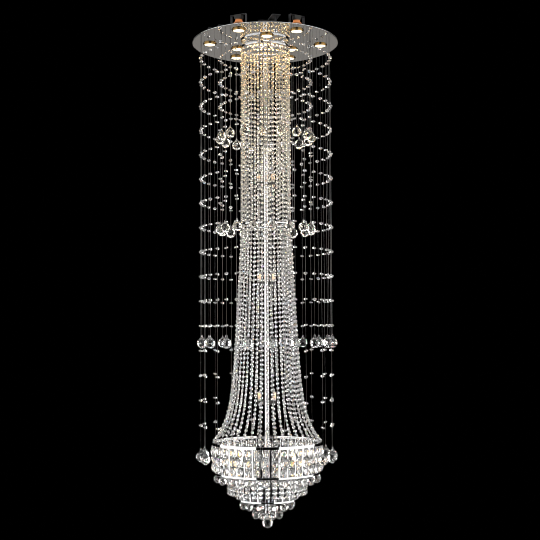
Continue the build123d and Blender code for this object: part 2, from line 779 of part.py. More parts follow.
write("bowl_top_ring", [band(TOP_RING_R, TOP_RING_TOP, TOP_RING_BOTTOM)])
write("bowl_spider", spider(band_room(TOP_RING_R), TOP_RING_Z, SPIDER_T))
write("tier_1_bars", tier_1_bars())
write("tier_1_crystals", tier_1_crystals())
write("tier_1_hoop", tier_1_hoop())
write("bowl_middle_ring", [band(MIDDLE_RING_R, MIDDLE_RING_TOP, MIDDLE_RING_BOTTOM)])
write("bowl_middle_tray", tray(band_room(MIDDLE_RING_R), BAND_FLATS, TRAY_TOP))
bowl_seat = TRAY_TOP + BOWL_HOLDER_H
bowl_angles = angles(BOWL_LAMPS, BOWL_LAMP_TURN)
posts = [place(bowl_holder(bowl_seat), BOWL_LAMP_R, angle) for angle in bowl_angles]
write("bowl_lampholders", posts)
for number, lamp_angle in enumerate(bowl_angles, 1):
    lamp = [place(s, BOWL_LAMP_R, lamp_angle) for s in capsule_lamp(bowl_seat)]
    write(f"bowl_lamp_{number}", lamp)
rim_top = TRAY_BOTTOM - SEAT_GAP
rim = hanging_balls(RIM_BALLS, RIM_BALL_CIRCLE_R, RIM_BALL_TURN, RIM_BALL_R, rim_top)
write("rim_balls", rim)

write("tier_2_bars", tier_2_bars())
write("tier_2_prisms", tier_2_prisms())
write("bowl_bottom_ring", [band(BOTTOM_RING_R, BOTTOM_RING_TOP, BOTTOM_RING_BOTTOM)])
write("bowl_bottom_tray", tray(band_room(BOTTOM_RING_R), TIER_2_BARS, BOTTOM_TRAY_TOP))
write("bowl_end_plate", tray(END_PLATE_R, END_PLATE_SIDES, END_PLATE_TOP))
bottom_outer = hanging_balls(
    OUTER_BOTTOM_BALLS,
    OUTER_BOTTOM_BALL_CIRCLE_R,
    OUTER_BOTTOM_BALL_TURN,
    OUTER_BOTTOM_BALL_R,
    BOTTOM_TRAY_BOTTOM - SEAT_GAP,
)
bottom_inner = hanging_balls(
    INNER_BOTTOM_BALLS,
    INNER_BOTTOM_BALL_CIRCLE_R,
    INNER_BOTTOM_BALL_TURN,
    INNER_BOTTOM_BALL_R,
    END_PLATE_BOTTOM - SEAT_GAP,
)
write("bottom_balls_outer", bottom_outer)
write("bottom_balls_inner", bottom_inner)
write("finial_eye", finial_eye())
write("finial_ball", finial_ball())

wires = {"inner": [], "outer": []}
for name, circle_r, start, count, drop in string_sets():
    side = "inner" if circle_r == INNER_STRING_R else "outer"
    wires[side] += string_wires(circle_r, start, count, drop)
    balls = hanging_balls(count, circle_r, start, STRING_BALL_R, string_end(drop))
    write(f"string_balls_{name}", balls)
for side, solids in wires.items():
    write(f"{side}_string_wires", solids)
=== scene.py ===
import math

import bpy
import numpy as np
from mathutils import Matrix, Vector


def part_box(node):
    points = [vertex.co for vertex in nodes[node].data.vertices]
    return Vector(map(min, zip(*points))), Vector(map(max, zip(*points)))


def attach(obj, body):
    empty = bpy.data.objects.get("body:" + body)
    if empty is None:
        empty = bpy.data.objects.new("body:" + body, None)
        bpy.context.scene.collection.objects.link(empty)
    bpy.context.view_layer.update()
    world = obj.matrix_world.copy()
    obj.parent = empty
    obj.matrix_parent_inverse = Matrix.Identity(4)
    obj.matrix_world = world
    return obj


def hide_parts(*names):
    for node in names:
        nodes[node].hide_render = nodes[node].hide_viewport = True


# The looks of a long crystal cascade light. Metres, +Z up, the ceiling face at z = 0.
# An angle is counted from +X towards +Y, seen from above. The camera stands on the -Y side.

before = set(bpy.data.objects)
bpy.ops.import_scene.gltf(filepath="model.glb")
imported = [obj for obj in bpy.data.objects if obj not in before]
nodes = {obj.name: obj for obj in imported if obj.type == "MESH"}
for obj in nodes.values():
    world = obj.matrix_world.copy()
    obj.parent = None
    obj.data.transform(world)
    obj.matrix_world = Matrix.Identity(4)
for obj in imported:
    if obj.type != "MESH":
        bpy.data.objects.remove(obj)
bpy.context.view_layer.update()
MM = 0.001

# Heights read from the construction
PLATE_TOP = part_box("ceiling_plate")[1].z
PLATE_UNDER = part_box("ceiling_plate")[0].z
WAIST_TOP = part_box("column_spider")[1].z
WAIST_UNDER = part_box("column_spider")[0].z
COLUMN_RING_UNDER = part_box("column_ring")[0].z
COLUMN_RING_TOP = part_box("column_ring")[1].z
TOP_RING_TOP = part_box("bowl_top_ring")[1].z
TOP_RING_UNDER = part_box("bowl_top_ring")[0].z
MIDDLE_RING_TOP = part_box("bowl_middle_ring")[1].z
MIDDLE_RING_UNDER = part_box("bowl_middle_ring")[0].z
BOTTOM_RING_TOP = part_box("bowl_bottom_ring")[1].z
BOTTOM_RING_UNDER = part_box("bowl_bottom_ring")[0].z
STEM_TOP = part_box("stem_tube")[1].z
STEM_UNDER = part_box("stem_tube")[0].z

# Radii of the construction
STEM_R = 9.5 * MM
STRAND_CIRCLE_R = 99.0 * MM
TOP_RING_R = 222.5 * MM
MIDDLE_RING_R = 216.0 * MM
BOTTOM_RING_R = 127.0 * MM
BAND_T = 3.0 * MM
PLATE_R = 300.0 * MM

# Circles of pieces: radius, first angle in degrees, count
OUTER_SPOTS = (229.0 * MM, 2.5, 6)
INNER_SPOTS = (130.0 * MM, 32.5, 3)
SCREW_CIRCLE = (186.0 * MM, 12.5, 4)
POST_CIRCLE = (STRAND_CIRCLE_R, 45.0, 4)
INNER_STRINGS = (188.0 * MM, 12.5, 16)
OUTER_STRINGS = (267.0 * MM, -86.0, 18)
PRISM_CIRCLE = (157.0 * MM, 0.0, 36)

rng = np.random.default_rng(72)


def angles(count, start=0.0):
    """Evenly spaced angles of a full circle, in radians."""
    return np.radians(start + 360.0 * np.arange(count) / count)


# Meshes

def make_piece(name, points, faces, material, smooth=False):
    """An object at the origin from an array of points and lists of corner numbers."""
    mesh = bpy.data.meshes.new(name)
    mesh.from_pydata(np.asarray(points, float).reshape(-1, 3).tolist(), [], faces)
    mesh.polygons.foreach_set("use_smooth", np.full(len(mesh.polygons), smooth))
    mesh.update()
    piece = bpy.data.objects.new(name, mesh)
    bpy.context.scene.collection.objects.link(piece)
    for one in material if isinstance(material, (list, tuple)) else [material]:
        mesh.materials.append(one)
    return piece


def repeat_faces(faces, points_each, copies):
    """The face lists of a shape of so many points, carried on to each copy of it."""
    out = []
    for copy in range(copies):
        step = copy * points_each
        out += [[corner + step for corner in face] for face in faces]
    return out


def set_down(shape, turn, places, lean=None):
    """Copies of a small shape: leant outwards, turned about Z, moved.

    Leaning by l turns (x, z) by l; turning by t turns (x, y) by t."""
    x, y, z = (np.broadcast_to(shape[:, k], (len(turn), len(shape))) for k in range(3))
    if lean is not None:
        c, s = np.cos(lean)[:, None], np.sin(lean)[:, None]
        x, z = c * x + s * z, c * z - s * x
    c, s = np.cos(turn)[:, None], np.sin(turn)[:, None]
    x, y = c * x - s * y, s * x + c * y
    return np.stack([x, y, z], 2) + places[:, None, :]


def round_the_stem(radius, turn, height):
    """Points at radii, angles and heights, as an array of three columns."""
    radius, turn, height = np.broadcast_arrays(radius, turn, height)
    return np.stack([radius * np.cos(turn), radius * np.sin(turn), height], -1).reshape(-1, 3)


def turned_grid(profile, sides, closed):
    """A profile of (radius, height) turned about Z: point (i, j) is profile i at angle j of so many."""
    turn = angles(sides)
    profile = np.asarray(profile, float)
    x = profile[:, :1] * np.cos(turn)
    y = profile[:, :1] * np.sin(turn)
    z = np.repeat(profile[:, 1:], sides, 1)
    rows = len(profile)
    faces = []
    for i in range(rows if closed else rows - 1):
        low, high = i * sides, (i + 1) % rows * sides
        faces += [[low + j, low + (j + 1) % sides, high + (j + 1) % sides, high + j] for j in range(sides)]
    return np.stack([x, y, z], 2).reshape(-1, 3), faces


def rounded_section(inner, outer, low, high, lip):
    """A closed ring profile, anticlockwise, with its four edges rounded by a quarter circle of a lip."""
    arc = np.radians([0, 30, 60, 90])
    corners = [(outer - lip, high - lip, 0), (inner + lip, high - lip, 90)]
    corners += [(inner + lip, low + lip, 180), (outer - lip, low + lip, 270)]
    points = []
    for x, z, start in corners:
        a = arc + math.radians(start)
        points += list(zip(x + lip * np.cos(a), z + lip * np.sin(a)))
    return points


def hoop(name, radius, top, under):
    """A smooth rolled band of chrome with rounded edges."""
    lip, sides = 0.6 * MM, 144
    points, faces = turned_grid(rounded_section(radius - BAND_T, radius, under, top, lip), sides, True)
    return make_piece(name, points, faces, chrome, True)


def capped_turning(profile, sides):
    """A turned solid whose profile starts and ends on the axis, with the two poles as single points."""
    points, faces = turned_grid(profile[1:-1], sides, False)
    first, last = len(points), len(points) + 1
    top_row = len(points) - sides
    points = np.vstack([points, [0, 0, profile[0][1]], [0, 0, profile[-1][1]]])
    faces += [[first, (j + 1) % sides, j] for j in range(sides)]
    faces += [[last, top_row + j, top_row + (j + 1) % sides] for j in range(sides)]
    return points, faces


# Cut crystals

def cut_bead(half_wide, half_thick, table):
    """A flat cut bead that faces +X: a girdle of eight corners, and a smaller table on each side."""
    turn = angles(8, 22.5)
    ring = np.stack([np.zeros(8), np.cos(turn), np.sin(turn)], 1) * half_wide
    front = ring * table + [half_thick, 0, 0]
    back = ring * table - [half_thick, 0, 0]
    faces = [list(range(8)), list(range(23, 15, -1))]
    for j in range(8):
        k = (j + 1) % 8
        faces += [[8 + j, 8 + k, k, j], [16 + j, 16 + k, 8 + k, 8 + j]]
    return np.vstack([front, ring, back]), faces


# Rings of a pendant from front to back: share of its width, share of its thickness, start angle
STAR_RINGS = ((0.44, 1.0, 22.5), (0.78, 0.58, 0.0), (1.0, 0.0, 22.5), (0.78, -0.58, 0.0), (0.44, -1.0, 22.5))


def star_cut(half_wide, half_tall, half_thick):
    """A pendant that faces +X: girdle, a middle ring half a step round, and a table, on both sides."""
    out = []
    for share, depth, start in STAR_RINGS:
        turn = angles(8, start)
        across, along = np.cos(turn) * share * half_wide, np.sin(turn) * share * half_tall
        out.append(np.stack([np.full(8, depth * half_thick), across, along], 1))
    faces = [list(range(8)), list(range(39, 31, -1))]
    for j in range(8):
        k = (j + 1) % 8
        for row, ahead in ((0, True), (1, False), (2, True), (3, False)):
            a, b = 8 * row, 8 * row + 8
            if ahead:
                faces += [[a + j, b + k, a + k], [a + j, b + j, b + k]]
            else:
                faces += [[a + j, b + j, a + k], [b + j, b + k, a + k]]
    return np.vstack(out), faces


def cut_turning(rows, sides):
    """A turned crystal through rows of (radius, height), each row half a step round from the last.

    Two neighbouring rows are joined by a belt of triangles. The first and last rows are points."""
    points = [[0, 0, rows[0][1]]]
    starts = []
    for number, (radius, height) in enumerate(rows[1:-1]):
        starts.append(len(points))
        for turn in angles(sides, 180.0 / sides * (number % 2)):
            points.append([radius * math.cos(turn), radius * math.sin(turn), height])
    points.append([0, 0, rows[-1][1]])
    top = len(points) - 1
    faces = [[0, starts[0] + (j + 1) % sides, starts[0] + j] for j in range(sides)]
    for number, (low, high) in enumerate(zip(starts, starts[1:])):
        for j in range(sides):
            k = (j + 1) % sides
            if number % 2:
                faces += [[low + j, high + k, high + j], [low + j, low + k, high + k]]
            else:
                faces += [[low + j, low + k, high + j], [low + k, high + k, high + j]]
    last = starts[-1]
    faces += [[last + j, last + (j + 1) % sides, top] for j in range(sides)]
    return np.array(points), faces


# Radius and height of a cut ball's belts, as shares of its radius
BALL_ROWS = (
    (0.0, -1.0), (0.36, -0.93), (0.68, -0.73), (0.9, -0.42),
    (1.0, -0.05), (0.95, 0.3), (0.78, 0.62), (0.46, 0.97),
)


def drop_ball(radius, tip):
    """A cut ball drawn up to a tip at a height above its middle."""
    rows = [(radius * r, radius * z) for r, z in BALL_ROWS]
    return cut_turning(rows + [(radius * 0.12, tip - radius * 0.06), (0.0, tip)], 12)


def wire_loop(radius, thick, steps=12, sides=5):
    """A small ring of wire standing on edge, facing +X."""
    t, s = angles(steps), angles(sides)
    reach = radius + thick * np.cos(s)[None, :]
    out = np.repeat(thick * np.sin(s)[None, :], steps, 0)
    points = np.stack([out, reach * np.cos(t)[:, None], reach * np.sin(t)[:, None]], 2).reshape(-1, 3)
    faces = []
    for i in range(steps):
        for j in range(sides):
            a, b = i * sides, (i + 1) % steps * sides
            faces.append([a + j, b + j, b + (j + 1) % sides, a + (j + 1) % sides])
    return points, faces


# Finishes

def new_material(name):
    """A material, its nodes and its links."""
    material = bpy.data.materials.new(name)
    material.use_nodes = True
    return material, material.node_tree.nodes, material.node_tree.links


def bump_from(nodes_, links, texture, strength):
    """A fine relief, up to 1 mm deep, from a texture."""
    bump = nodes_.new("ShaderNodeBump")
    bump.inputs["Strength"].default_value = strength
    bump.inputs["Distance"].default_value = 1 * MM
    links.new(texture.outputs[0], bump.inputs["Height"])
    return bump


def object_noise(nodes_, links, scale):
    """Soft noise that lies still on the object."""
    place = nodes_.new("ShaderNodeTexCoord")
    noise = nodes_.new("ShaderNodeTexNoise")
    noise.inputs["Scale"].default_value = scale
    noise.inputs["Detail"].default_value = 3.0
    links.new(place.outputs["Object"], noise.inputs["Vector"])
    return noise


def between(nodes_, links, source, low, high):
    """A value carried from 0..1 to low..high."""
    span = nodes_.new("ShaderNodeMapRange")
    span.inputs["To Min"].default_value = low
    span.inputs["To Max"].default_value = high
    links.new(source, span.inputs["Value"])
    return span.outputs["Result"]


def metal(name, colour, rough_low, rough_high, scale, bump=0.02):
    """Metal whose polish varies a little from place to place, with faint ripples."""
    material, n, l = new_material(name)
    shader = n["Principled BSDF"]
    shader.inputs["Base Color"].default_value = (*colour, 1)
    shader.inputs["Metallic"].default_value = 1.0
    noise = object_noise(n, l, scale)
    l.new(between(n, l, noise.outputs[0], rough_low, rough_high), shader.inputs["Roughness"])
    l.new(bump_from(n, l, noise, bump).outputs[0], shader.inputs["Normal"])
    return material


def solid_colour(name, colour, rough, scale, bump):
    """Paint, ceramic or plastic: two near shades on a fine noise, with a slight grain."""
    material, n, l = new_material(name)
    shader = n["Principled BSDF"]
    noise = object_noise(n, l, scale)
    ramp = n.new("ShaderNodeValToRGB")
    ramp.color_ramp.elements[0].position = 0.35
    ramp.color_ramp.elements[0].color = (*[c * 0.9 for c in colour], 1)
    ramp.color_ramp.elements[1].position = 0.65
    ramp.color_ramp.elements[1].color = (*colour, 1)
    l.new(noise.outputs[0], ramp.inputs[0])
    l.new(ramp.outputs[0], shader.inputs["Base Color"])
    shader.inputs["Roughness"].default_value = rough
    l.new(bump_from(n, l, noise, bump).outputs[0], shader.inputs["Normal"])
    return material


def crystal(name, ior=1.6, through=1.0):
    """Cut clear crystal. Each facet's colour is painted light from the piece's own values: faint tints that
    stand in for the coloured glints of cut glass, and warm lamp light near the plate.
    """
    material, n, l = new_material(name)
    shader = n["Principled BSDF"]
    painted_light_tint = n.new("ShaderNodeAttribute")
    painted_light_tint.attribute_name = "painted_glints_and_lamp_warmth"
    l.new(painted_light_tint.outputs["Color"], shader.inputs["Base Color"])
    shader.inputs["Roughness"].default_value = 0.0
    shader.inputs["IOR"].default_value = ior
    shader.inputs["Transmission Weight"].default_value = through
    return material


def glowing(name, colour, strength, base=(0.5, 0.48, 0.44)):
    """A lit lamp: the piece's own glow values say how bright each place is, under a fine frosting."""
    material, n, l = new_material(name)
    shader = n["Principled BSDF"]
    shader.inputs["Base Color"].default_value = (*base, 1)
    shader.inputs["Roughness"].default_value = 0.3
    shader.inputs["Emission Color"].default_value = (*colour, 1)
    noise = object_noise(n, l, 900.0)
    glow = n.new("ShaderNodeAttribute")
    glow.attribute_name = "glow"
    product = n.new("ShaderNodeMath")
    product.operation = "MULTIPLY"
    l.new(between(n, l, noise.outputs[0], 0.8 * strength, 1.2 * strength), product.inputs[0])
    l.new(glow.outputs["Fac"], product.inputs[1])
    l.new(product.outputs[0], shader.inputs["Emission Strength"])
    return material


def give_glow(piece, values):
    """Stores how bright each point of a lit piece is."""
    layer = piece.data.attributes.new("glow", "FLOAT", "POINT")
    layer.data.foreach_set("value", np.asarray(values, np.float32))


# Painted light on the crystals: tints that stand in for the coloured glints cut glass splits light into, and
# a painted warm lamp light, as what warm lamps take out of red, green and blue beside them
PAINTED_GLINT_TINTS = np.array([
    (1.0, 0.45, 0.12), (0.3, 0.9, 0.5), (0.35, 0.62, 1.0),
    (0.75, 0.52, 1.0), (1.0, 0.85, 0.25), (1.0, 0.35, 0.25),
])
PAINTED_LAMP_WARMTH = np.array([0.0, 0.08, 0.27])


def paint_glints_and_lamp_warmth(piece, share, warm=1.0):
    """Colours each facet: most of them clear, and a share of them faintly tinted, a painted glint that stands
    in for the colours cut glass splits light into.

    Near the warm lamps of the plate the crystal is painted a little golden, as far as warm says: painted warm
    lamp light, not a colour of the glass. That fades out 1.1 m further down."""
    mesh = piece.data
    count = len(mesh.polygons)
    centres = np.empty(count * 3)
    mesh.polygons.foreach_get("center", centres)
    # Painted warm lamp light: how near each facet is to the plate's lamps sets how golden it is painted
    near = np.clip((centres[2::3] + 1.2) / 1.1, 0, 1)
    colours = np.ones((count, 4))
    colours[:, :3] = 0.93 + 0.07 * rng.random((count, 1))
    colours[:, :3] *= 1 - warm * near[:, None] * PAINTED_LAMP_WARMTH
    # Painted glints: a share of facets get a coloured tint that stands in for the colours cut glass splits
    # light into
    tinted = rng.random(count) < share
    strength = rng.uniform(0.2, 1.0, (tinted.sum(), 1)) ** 2
    picked = PAINTED_GLINT_TINTS[rng.integers(0, len(PAINTED_GLINT_TINTS), tinted.sum())]
    colours[tinted, :3] = 1 - strength * (1 - picked)
    layer = mesh.color_attributes.new("painted_glints_and_lamp_warmth", "FLOAT_COLOR", "CORNER")
    totals = np.empty(count, int)
    mesh.polygons.foreach_get("loop_total", totals)
    layer.data.foreach_set("color", np.repeat(colours, totals, 0).astype(np.float32).ravel())


chrome = metal("polished_chrome", (0.82, 0.83, 0.85), 0.02, 0.08, 40.0)
mirror_steel = metal("mirror_steel", (0.5, 0.505, 0.515), 0.02, 0.05, 12.0, bump=0.01)
tray_steel = metal("mirror_tray", (0.8, 0.81, 0.82), 0.02, 0.05, 12.0, bump=0.01)
zinc = metal("zinc_plate", (0.1, 0.102, 0.108), 0.25, 0.4, 160.0, bump=0.05)
thin_wire = metal("bright_wire", (0.27, 0.27, 0.275), 0.3, 0.45, 300.0)
gold_trim = metal("warm_trim", (0.42, 0.27, 0.1), 0.08, 0.2, 60.0)
ceramic = solid_colour("lamp_ceramic", (0.04, 0.038, 0.035), 0.6, 300.0, 0.1)
cover_paint = solid_colour("white_cover", (0.82, 0.82, 0.8), 0.35, 500.0, 0.15)
block_plastic = solid_colour("terminal_plastic", (0.85, 0.84, 0.78), 0.4, 300.0, 0.05)
silicone = solid_colour("silicone_lead", (0.35, 0.35, 0.34), 0.5, 400.0, 0.1)
clear_crystal = crystal("cut_crystal")
bead_crystal = crystal("bead_crystal", 1.7, 0.82)
pendant_crystal = crystal("pendant_crystal", 1.65, 0.97)
finial_glass = crystal("finial_glass", 1.5)
spot_glow = glowing("lit_spot_glass", (1.0, 0.88, 0.64), 1.8)
spot_back = glowing("spot_reflector_back", (1.0, 0.32, 0.08), 0.55, (0.16, 0.09, 0.05))
capsule_glow = glowing("lit_capsule_glass", (1.0, 0.56, 0.24), 3.2)
bowl_glow = glowing("lit_bowl_capsule_glass", (1.0, 0.74, 0.42), 16.0)

CAD_FINISH = {
    "ceiling_bracket": zinc, "hanger_pillars": zinc, "lamp_bridges": zinc,
    "ceiling_plate": mirror_steel, "bowl_middle_tray": tray_steel, "bowl_bottom_tray": tray_steel,
    "bowl_end_plate": tray_steel, "spot_lampholders": ceramic, "stem_lampholders": ceramic,
    "bowl_lampholders": ceramic, "lamp_leads": silicone, "junction_cover": cover_paint,
    "terminal_block": block_plastic, "stem_nuts": chrome, "column_spider": chrome, "bowl_spider": chrome,
    "tier_1_bars": chrome, "tier_2_bars": chrome, "tier_1_hoop": chrome, "finial_eye": chrome,
}
for name, material in CAD_FINISH.items():
    nodes[name].data.materials.clear()
    nodes[name].data.materials.append(material)


def settle(piece, slot, body, *replaced):
    """Hangs a piece on its body and hides the construction it stands for. The finish name, slot, is not used.
    """
    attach(piece, body)
    if replaced:
        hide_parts(*replaced)


# Stem and rings

def stem():
    """A long tube with a small rounding at its ends."""
    section = rounded_section(STEM_R - 1.5 * MM, STEM_R, STEM_UNDER, STEM_TOP, 0.5 * MM)
    points, faces = turned_grid(section, 48, True)
    settle(make_piece("stem", points, faces, chrome, True), "chrome", "frame", "stem_tube")


def rings():
    """The column's band and the three bands of the bowl."""
    for name, radius, top, under, node in (
        ("column_band", STRAND_CIRCLE_R + BAND_T / 2, COLUMN_RING_TOP, COLUMN_RING_UNDER, "column_ring"),
        ("top_band", TOP_RING_R, TOP_RING_TOP, TOP_RING_UNDER, "bowl_top_ring"),
        ("middle_band", MIDDLE_RING_R, MIDDLE_RING_TOP, MIDDLE_RING_UNDER, "bowl_middle_ring"),
        ("bottom_band", BOTTOM_RING_R, BOTTOM_RING_TOP, BOTTOM_RING_UNDER, "bowl_bottom_ring"),
    ):
        settle(hoop(name, radius, top, under), "chrome", "frame", node)


def copies_round(name, points, faces, circle, material, smooth=True):
    """Copies of a shape at a radius, start angle and count, facing outwards."""
    radius, start, count = circle
    turn = angles(count, start)
    places = round_the_stem(radius, turn, 0.0)
    placed = set_down(points, turn, places)
    return make_piece(name, placed, repeat_faces(faces, len(points), count), material, smooth)


def cap_screws():
    """Turned dome: a straight skirt, then a quarter round to the tip, on the shank that passes the plate."""
    a = np.radians(np.linspace(0, 90, 8))
    radius, height, skirt = 8 * MM, 9 * MM, 4 * MM
    shank_r, shank_top = 2.9 * MM, PLATE_TOP + 10 * MM
    dome = [(radius * math.cos(t), PLATE_UNDER - skirt - (height - skirt) * math.sin(t)) for t in a]
    dome[-1] = (0, PLATE_UNDER - height)
    profile = dome[::-1] + [(radius, PLATE_UNDER - 0.4 * MM), (radius - 0.4 * MM, PLATE_UNDER)]
    profile += [(shank_r, PLATE_UNDER), (shank_r, shank_top), (0, shank_top)]
    points, faces = capped_turning(profile, 32)
    piece = copies_round("cap_screw_domes", points, faces, SCREW_CIRCLE, chrome)
    settle(piece, "chrome", "frame", "cap_screws")


def posts():
    """Four plain round posts that hold the column's band under the plate."""
    radius = 2.8 * MM
    profile = [(0, COLUMN_RING_TOP), (radius, COLUMN_RING_TOP), (radius, PLATE_UNDER), (0, PLATE_UNDER)]
    points, faces = capped_turning(profile, 20)
    piece = copies_round("ring_spacers", points, faces, POST_CIRCLE, chrome)
    settle(piece, "chrome", "frame", "ring_posts")


# Lamps

# How bright each row of a spot lamp is, from its glass round the rim and up its back to the neck
SPOT_GLASS_GLOW = [1.0, 1.0, 0.5, 0.3, 0.3, 0.3, 0.3]
SPOT_BACK_GLOW = [0.1, 0.1, 0.1, 0.2, 0.6, 1.0, 1.0, 1.0, 0.9, 0.05, 0.0, 0.0]
SPOT_PROUD = 6 * MM
SPOT_TALL = 48 * MM


def spot_lamps():
    """Turned reflector lamps. Profile rows: lit glass, warm rim, a quarter ellipse for the back, and neck."""
    face = PLATE_UNDER - SPOT_PROUD
    top = face + SPOT_TALL
    glass = [(0, face + 1.6 * MM), (12 * MM, face + 1.3 * MM), (18 * MM, face + 1.1 * MM),
             (22.6 * MM, face + 0.9 * MM)]
    rim = [(23.2 * MM, face), (24.4 * MM, face), (25 * MM, face + 0.6 * MM), (25 * MM, face + 7 * MM)]
    a = np.radians(np.linspace(8, 90, 8))
    bowl = [(14 * MM + 11 * MM * math.cos(t), face + 7 * MM + 30 * MM * math.sin(t)) for t in a]
    neck = [(14 * MM, top - 5 * MM), (14 * MM, top - 3 * MM), (14 * MM, top - 0.6 * MM), (13.4 * MM, top),
            (0, top)]
    profile = glass + rim + bowl + neck
    sides = 40
    points, faces = capped_turning(profile, sides)
    rows = np.repeat(np.arange(len(profile) - 3), sides)
    slots = np.where(rows < 2, 0, np.where(rows < 6, 1, 2))
    slots = np.concatenate([slots, np.zeros(sides), np.full(sides, 2)]).astype(np.int32)
    glow = np.concatenate([np.repeat(SPOT_GLASS_GLOW + SPOT_BACK_GLOW, sides), [1.0, 0.0]])
    number = 0
    for radius, start, count in (OUTER_SPOTS, INNER_SPOTS):
        for turn in angles(count, start):
            number += 1
            moved = points + [radius * math.cos(turn), radius * math.sin(turn), 0]
            piece = make_piece(f"spot_{number}", moved, faces, [spot_glow, gold_trim, spot_back], True)
            piece.data.polygons.foreach_set("material_index", slots)
            give_glow(piece, glow)
            settle(piece, "spot_lamp", f"spot_lamp_{number}", f"spot_lamp_{number}")
            pins = []
            for side in (-1, 1):
                pin, pin_faces = capped_turning([
                    (0, top), (1.5 * MM, top), (1.5 * MM, top + 3.5 * MM),
                    (2 * MM, top + 4 * MM), (2 * MM, top + 6 * MM), (0, top + 6.5 * MM)], 12)
                pins.append(pin + [side * 5 * MM, 0, 0])
            pins = set_down(np.vstack(pins), np.array([turn]), round_the_stem(radius, turn, 0.0))[0]
            pins = make_piece(f"spot_pins_{number}", pins, repeat_faces(pin_faces, len(pin), 2), zinc, True)
            settle(pins, "spot_lamp", f"spot_lamp_{number}")


def spot_trims():
    """Thin warm rings that edge the plate's openings, one round each spot."""
    rows = [(25.3, 0.0), (25.4, 1.0), (26.2, 1.8), (27.4, 1.8), (28.4, 0.9), (28.6, 0.0)]
    section = [(radius * MM, PLATE_UNDER - drop * MM) for radius, drop in rows]
    points, faces = turned_grid(section, 48, True)
    circles = (OUTER_SPOTS, INNER_SPOTS)
    places = np.vstack([round_the_stem(r, angles(n, start), 0.0) for r, start, n in circles])
    placed = points[None] + places[:, None]
    piece = make_piece("spot_trims", placed, repeat_faces(faces, len(points), len(places)), gold_trim, True)
    settle(piece, "chrome", "frame")


def plate_edge():
    """The plate's polished edge: a fine half-round bead all the way round."""
    a = np.radians(np.linspace(-90, 90, 7))
    middle, proud, half = (PLATE_TOP + PLATE_UNDER) / 2, 1.3 * MM, 1.15 * MM
    section = [(PLATE_R + proud * math.cos(t), middle + half * math.sin(t)) for t in a]
    section += [(PLATE_R - 1.5 * MM, middle + half), (PLATE_R - 1.5 * MM, middle - half)]
    points, faces = turned_grid(section, 192, True)
    settle(make_piece("plate_edge", points, faces, chrome, True), "mirror_plate", "frame")


def capsule_lamps():
    """Turned capsule with a pinched glass tip, standing on its seat, and its flat plug below.

    The glow is a bell curve over the height, brightest at 0.62 of it."""
    for kind, count, lit, spread in (("stem", 6, capsule_glow, 0.1), ("bowl", 4, bowl_glow, 0.25)):
        for number in range(1, count + 1):
            node = f"{kind}_lamp_{number}"
            low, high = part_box(node)
            centre = (low + high) / 2
            seat = low.z + 8 * MM
            a = np.radians(np.linspace(0, 84, 7))
            r = 7 * MM
            profile = [(0, seat), (6 * MM, seat), (r, seat + 2 * MM), (r, high.z - 11 * MM)]
            profile += [(r * math.cos(t), high.z - 11 * MM + 8 * MM * math.sin(t)) for t in a[1:]]
            profile += [(0.8 * MM, high.z - 0.6 * MM), (0, high.z)]
            points, faces = capped_turning(profile, 24)
            plug, plug_faces = capped_turning(
                [(0, low.z), (2.2 * MM, low.z + 0.4 * MM), (2.5 * MM, seat - 0.2 * MM), (0, seat)], 16)
            plug = plug * [0.8, 2.2, 1.0]
            turn = math.atan2(centre.y, centre.x)
            plug = set_down(plug, np.array([turn]), np.zeros((1, 3)))[0]
            everything = np.vstack([points, plug]) + [centre.x, centre.y, 0]
            faces_all = faces + [[c + len(points) for c in f] for f in plug_faces]
            piece = make_piece(f"capsule_{kind}_{number}", everything, faces_all, [lit, ceramic], True)
            share = (everything[:, 2] - seat) / (high.z - seat)
            give_glow(piece, np.exp(-((share - 0.62) / spread) ** 2))
            slots = np.zeros(len(faces_all), np.int32)
            slots[len(faces):] = 1
            piece.data.polygons.foreach_set("material_index", slots)
            settle(piece, "capsule_lamp", node, node)


# Curtain column of beads

BEAD_PITCH = 18.5 * MM
COLUMN_BEAD = (6.4 * MM, 3.4 * MM, 0.46)
STRANDS = 40
LINK_R = 0.4 * MM
LINK_HALF = 2.9 * MM


def bead_column(name, node, line_r, line_z):
    """Beads along a strand line given by its radii and heights, each leant with the line's slope.

    The angle and the spacing are a little different on each strand. A thin link joins a bead to the next."""
    step = np.hypot(np.diff(line_r), np.diff(line_z))
    along = np.concatenate([[0], np.cumsum(step)])
    slope_r = np.gradient(line_r, along)
    slope_z = np.gradient(line_z, along)
    at, turn, twist = [], [], []
    for angle in angles(STRANDS) + rng.uniform(-0.02, 0.02, STRANDS):
        pitch = BEAD_PITCH * (1 + rng.normal(0, 0.012))
        spots = np.arange(9.0 * MM, along[-1] - 8.0 * MM, pitch)
        at.append(spots)
        turn.append(np.full(len(spots), angle))
        twist.append(rng.uniform(-0.25, 0.25) + rng.uniform(-0.35, 0.35, len(spots)))
    at, turn, twist = np.concatenate(at), np.concatenate(turn), np.concatenate(twist)
    radius, height = np.interp(at, along, line_r), np.interp(at, along, line_z)
    lean = np.arctan2(np.interp(at, along, slope_r), -np.interp(at, along, slope_z))
    places = round_the_stem(radius, turn, height)
    shape, faces = cut_bead(*COLUMN_BEAD)
    placed = set_down(shape, turn + twist, places, lean=-lean)
    piece = make_piece(name, placed, repeat_faces(faces, len(shape), len(turn)), bead_crystal)
    paint_glints_and_lamp_warmth(piece, 0.1)
    settle(piece, "crystal", "frame", node)
    half = BEAD_PITCH / 2
    corners = ((LINK_R, LINK_R), (-LINK_R, LINK_R), (-LINK_R, -LINK_R), (LINK_R, -LINK_R))
    link = np.array([[x, y, z] for z in (half - LINK_HALF, half + LINK_HALF) for x, y in corners])
    sides = [[j, (j + 1) % 4, 4 + (j + 1) % 4, 4 + j] for j in range(4)]
    placed = set_down(link, turn, places, lean=-lean)
    piece = make_piece(f"{name}_links", placed, repeat_faces(sides, 8, len(turn)), thin_wire)
    settle(piece, "steel_wire", "frame")


